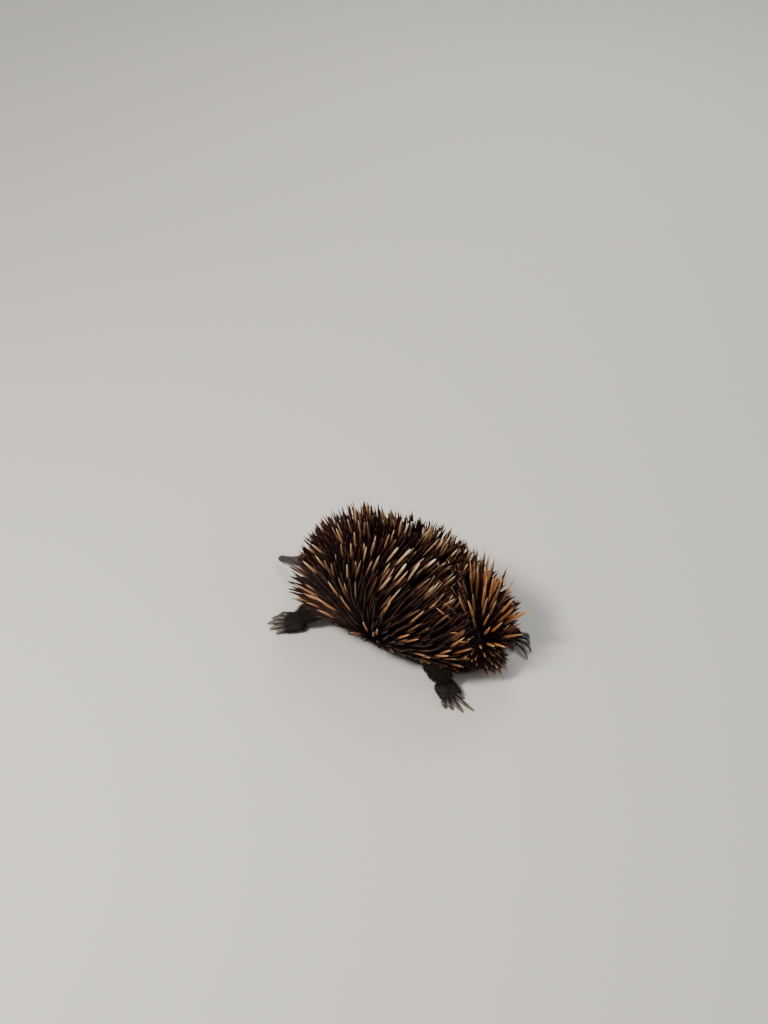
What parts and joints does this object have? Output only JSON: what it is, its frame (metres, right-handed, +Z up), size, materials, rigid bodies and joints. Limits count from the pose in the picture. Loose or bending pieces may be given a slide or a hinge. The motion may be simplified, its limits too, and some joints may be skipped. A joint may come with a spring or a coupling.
{
  "type": "short-beaked echidna",
  "caption": "Life-size still model of a short-beaked echidna crouched low while digging itself in, spines raised, beak down.",
  "frame": {"origin": "centre of the flat of the belly, on the floor", "axes": "+Z up, -X towards the head, +X towards the tail, -Y to the animal's left side"},
  "size_m": [0.414, 0.24, 0.1757],
  "materials": {
    "spiny_coat": "horn spines, satin, dark at the root, golden to cream above, over coarse dark fur",
    "short_fur": "short dense brown-black fur",
    "beak_skin": "smooth bare dark grey skin, slightly damp",
    "eye": "wet, glossy, nearly black",
    "foot_and_claw": "furred foot with a horny, satin grey-brown sole and claws"
  },
  "bodies": {
    "root": {"torso": "spiny_coat", "head": "short_fur", "beak": "beak_skin", "eye_left": "eye", "eye_right": "eye", "ear_left": "short_fur", "ear_right": "short_fur", "tail": "spiny_coat", "foreleg_left": "short_fur", "foreleg_right": "short_fur", "forefoot_left": "foot_and_claw", "forefoot_right": "foot_and_claw", "hindleg_left": "short_fur", "hindleg_right": "short_fur", "hindfoot_left": "foot_and_claw", "hindfoot_right": "foot_and_claw"}
  },
  "joints": []
}
